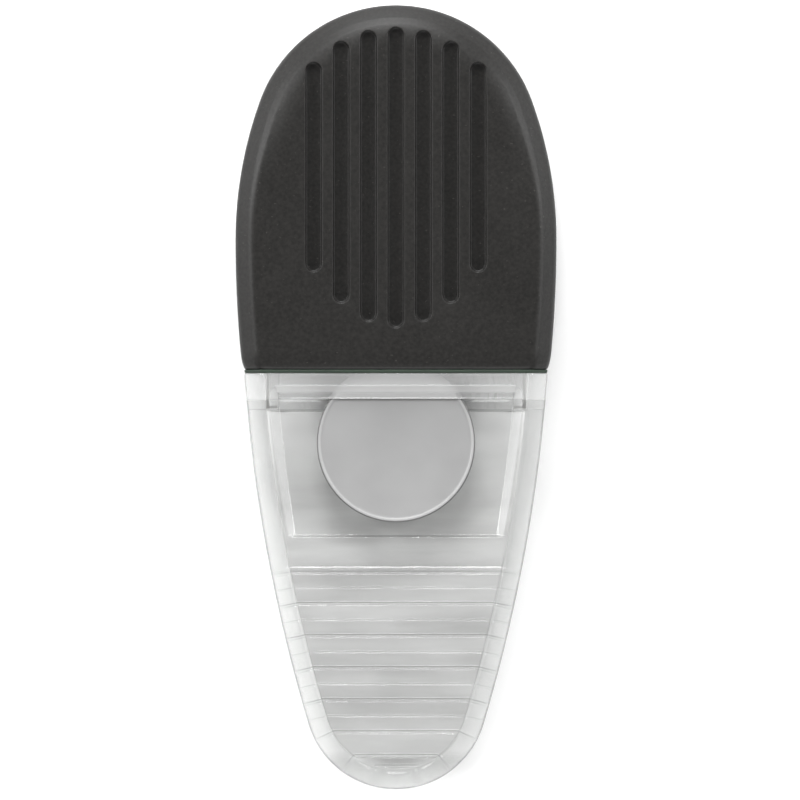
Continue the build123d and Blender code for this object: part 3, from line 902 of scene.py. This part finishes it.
def make_front_shell():
    """The clear front half: its outer face as one grid, with the pad and the neck added."""
    bm = bmesh.new()
    rows, columns = shell_rows(), shell_columns()
    half = [[shell_spot(row, column) for column in columns] for row in rows]
    count = 2 * len(columns) - 2

    def place(i, j):
        i %= count
        if i < len(columns):
            return half[j][i]
        x, y, z = half[j][count - i]
        return -x, y, z

    drape_grid(bm, count, len(rows) - 1, place)
    for face in bm.faces:
        centre = face.calc_center_median()
        in_slot = PAD_Z - SLIVER < centre.z < SLOT_ROOF_Z + SLIVER and abs(centre.x) < MARKER_RADIUS
        if in_slot and centre.y > LIP_Y:
            face.material_index = 1
    bmesh.ops.remove_doubles(bm, verts=bm.verts, dist=MERGE)
    end = open_edges(bm, lambda co: co.y > SHOULDER_Y - SLIVER)
    bmesh.ops.holes_fill(bm, edges=end, sides=0)
    bmesh.ops.dissolve_degenerate(bm, dist=MERGE / 10, edges=bm.edges)
    point_outwards(bm)
    add_marker_pad(bm)
    neck = bmesh.new()
    add_cad_part(neck, "handle_front_shell", SHOULDER_Y + TOUCH)
    soften_edges(neck, 0.2)
    join_form(bm, neck)
    plastics = [clear_plastic, slot_frost]
    finish_piece(bm, "clear_front_shell", "handle", "handle_front_shell", plastics)


make_front_shell()

# ---------------------------------------------------------------------------
# Back shell: the other clear styrene moulding, plain outside, with the lower half of the
# neck. It is welded to the front shell round the core, and carries the fork's screws.
# ---------------------------------------------------------------------------


def softened_copy(node, name, body, width, material):
    """A CAD part with its moulded or stamped edges rounded, in its own material."""
    bm = bmesh.new()
    add_cad_part(bm, node)
    soften_edges(bm, width)
    finish_piece(bm, name, body, node, [material])


softened_copy("handle_back_shell", "clear_back_shell", "handle", 0.25, clear_plastic)

# ---------------------------------------------------------------------------
# Core: a wedge of frosted styrene that fills the clear shells and gives the handle its
# grey, cloudy look. It is dropped in before the shells are welded. It is paler towards its tip, and
# painted light makes it paler near the cap, where the cap's shade falls on it.
# ---------------------------------------------------------------------------
CORE_DARK = (0.265, 0.265, 0.263)
CORE_LIGHT = (0.385, 0.385, 0.383)
CORE_STREAKS = (0.35, 2.4, 1)
# The first lift is painted light, which lifts the shade the cap casts on the core near it; the second makes
# the core paler towards its tip.
CORE_PAINTED_LIGHT_AND_PALE_TIP = [(-11, -1.5, 0.68), (-42.6, -43.8, 0.5)]

core_frost = frosted_styrene("core_frost", CORE_DARK, CORE_LIGHT, CORE_STREAKS, CORE_PAINTED_LIGHT_AND_PALE_TIP)
softened_copy("handle_core", "frosted_core", "handle", 0.3, core_frost)

# ---------------------------------------------------------------------------
# Ball marker: a thin disc moulded in satin grey plastic, with a raised rim and a shallow
# dish. It lies loose on the recess's pad, and its upper edge is held in the slot.
# ---------------------------------------------------------------------------
MARKER_TOP = marker_high.z / MM
MARKER_FOOT = marker_low.z / MM
MARKER_DARK = (0.24, 0.24, 0.24)
MARKER_LIGHT = (0.275, 0.275, 0.275)
RIM_PAINTED_HIGHLIGHT = (0.5, 0.4, 0.32)
EDGE_PAINTED_SHADE = (0.22, 0.1, 0.1)
DISH_DEPTH = 0.12


def vector_node(tree, operation, first, second=None):
    """Outputs of an operation on a vector and, if given, a constant vector."""
    node = tree.nodes.new("ShaderNodeVectorMath")
    node.operation = operation
    tree.links.new(first, node.inputs[0])
    if second:
        node.inputs[1].default_value = second
    return node.outputs


def marker_satin():
    """Satin grey plastic, with a painted highlight on its rim and painted shade round its edge."""
    material, tree, shader, place = new_material("marker_satin")
    centred = vector_node(tree, "SUBTRACT", place, (0, MARKER_Y * MM, 0))[0]
    level = vector_node(tree, "MULTIPLY", centred, (1, 1, 0))[0]
    radius = vector_node(tree, "LENGTH", level)["Value"]
    clouds = spread(tree, noise(tree, place, 0.12, 3), 0, 1)
    colour = shade_between(tree, clouds, MARKER_DARK, MARKER_LIGHT)
    # The rim ring is a painted highlight and the edge ring is painted shade.
    for start, end, tone in (RIM_PAINTED_HIGHLIGHT, EDGE_PAINTED_SHADE):
        share = spread(tree, radius, 0, 1, (MARKER_RADIUS - start) * MM, (MARKER_RADIUS - end) * MM)
        colour = tinted(tree, colour, share, (tone, tone, tone, 1))
    tree.links.new(colour, shader.inputs["Base Color"])
    tree.links.new(spread(tree, noise(tree, place, 0.6, 3), 0.36, 0.5), shader.inputs["Roughness"])
    add_bump(tree, shader, noise(tree, place, 4, 3), 0.01, 0.5)
    return material


def make_marker():
    """The disc, spun from half of its section: foot, rounded edge, raised rim and dish."""
    bm = bmesh.new()
    r = MARKER_RADIUS
    low, high = MARKER_FOOT, MARKER_TOP
    foot = [(0, low), (r - 1.0, low), (r - 0.3, low), (r - 0.12, low + 0.05), (r - 0.03, low + 0.16)]
    edge = [(r, low + 0.3), (r, high - 0.25), (r - 0.02, high - 0.13), (r - 0.08, high - 0.04)]
    rim = [(r - 0.18, high), (r - 0.32, high), (r - 0.4, high - 0.02), (r - 0.48, high - 0.08)]
    dish = [(r - 0.58, high - 0.11), (r - 0.8, high - DISH_DEPTH), (r - 2.5, high - DISH_DEPTH)]
    middle = [(r * 0.45, high - 0.11), (0, high - 0.1)]
    verts = [bm.verts.new((x, MARKER_Y, z)) for x, z in foot + edge + rim + dish + middle]
    edges = [bm.edges.new(pair) for pair in zip(verts, verts[1:])]
    centre = (0, MARKER_Y, 0)
    bmesh.ops.spin(
        bm, geom=[*verts, *edges], cent=centre, axis=(0, 0, 1), angle=2 * pi, steps=128, use_merge=True
    )
    point_outwards(bm)
    finish_piece(bm, "marker_disc", "marker", "ball_marker", [marker_satin()])


make_marker()

# ---------------------------------------------------------------------------
# Steel parts: the fork, stamped from 2 mm sheet and brushed along its prongs, the two turned
# screws that clamp it in the neck, and the bowed spring strips that grip the cap's liner.
# ---------------------------------------------------------------------------
FORK_STEEL = (0.5, 0.5, 0.49)
SCREW_STEEL = (0.42, 0.42, 0.42)
SPRING_STEEL = (0.46, 0.46, 0.45)
ALONG_PRONGS = (1, 0.04, 1)
ALONG_SHANKS = (1, 1, 0.1)
ALONG_STRIPS = (1, 0.05, 1)


def brushed_steel(name, shade, along):
    """Steel with fine brushing along one direction and dull fingermarks."""
    material, tree, shader, place = new_material(name)
    lines = noise(tree, place, 3, 2, along)
    marks = noise(tree, place, 0.3, 3)
    light = tuple(1.2 * k for k in shade)
    tree.links.new(shade_between(tree, spread(tree, lines, 0, 1), shade, light), shader.inputs["Base Color"])
    tree.links.new(spread(tree, marks, 0.24, 0.42), shader.inputs["Roughness"])
    shader.inputs["Metallic"].default_value = 1
    add_bump(tree, shader, lines, 0.006, 0.5)
    return material


fork_steel = brushed_steel("fork_steel", FORK_STEEL, ALONG_PRONGS)
screw_steel = brushed_steel("screw_steel", SCREW_STEEL, ALONG_SHANKS)
spring_steel = brushed_steel("spring_steel", SPRING_STEEL, ALONG_STRIPS)
softened_copy("fork", "steel_fork", "handle", 0.25, fork_steel)
softened_copy("fork_screws", "fork_screws_steel", "handle", 0.12, screw_steel)
softened_copy("left_cap_spring", "left_spring_strip", "handle", 0.06, spring_steel)
softened_copy("right_cap_spring", "right_spring_strip", "handle", 0.06, spring_steel)

# ---------------------------------------------------------------------------
# Seal ring: a thin gasket of dark, green-tinged rubber. It is stretched over the neck onto
# the handle's shoulder, and is seen as a fine dark line in the seam. That line is partly
# painted shade, standing in for the shadow in the seam's gap.
# ---------------------------------------------------------------------------
# The dark colour is the gasket's own, and it also stands in as painted shade for the shadow in the seam.
SEAL_DARK_AND_SEAM_SHADE = (0.006, 0.016, 0.008)
SEAL_BLOOM = (0.014, 0.028, 0.016)


def seal_rubber():
    """Dark rubber with a green cast and a dusty bloom; its dark colour also serves as painted shade in the
    seam.
    """
    material, tree, shader, place = new_material("seal_rubber")
    bloom = spread(tree, noise(tree, place, 0.4, 3), 0, 1)
    tree.links.new(shade_between(tree, bloom, SEAL_DARK_AND_SEAM_SHADE, SEAL_BLOOM), shader.inputs["Base Color"])
    tree.links.new(spread(tree, bloom, 0.6, 0.75, 0, 1), shader.inputs["Roughness"])
    add_bump(tree, shader, noise(tree, place, 5, 2), 0.01, 0.4)
    return material


softened_copy("seal_ring", "seal_gasket", "handle", 0.1, seal_rubber())

# ---------------------------------------------------------------------------
# Cap liner: the hard black sleeve, moulded first, that the grip's rubber is moulded over.
# It slides over the neck and the fork, and the springs bear on its sides.
# ---------------------------------------------------------------------------
LINER_DARK = (0.04, 0.04, 0.041)
LINER_LIGHT = (0.06, 0.06, 0.061)


def liner_plastic():
    """Black moulded plastic with a fine spark-eroded texture."""
    material, tree, shader, place = new_material("liner_plastic")
    grain = noise(tree, place, 3, 3)
    colour = shade_between(tree, spread(tree, grain, 0, 1), LINER_DARK, LINER_LIGHT)
    tree.links.new(colour, shader.inputs["Base Color"])
    tree.links.new(spread(tree, grain, 0.4, 0.55), shader.inputs["Roughness"])
    add_bump(tree, shader, grain, 0.015, 0.5)
    return material


softened_copy("cap_liner", "cap_liner_sleeve", "cap", 0.2, liner_plastic())
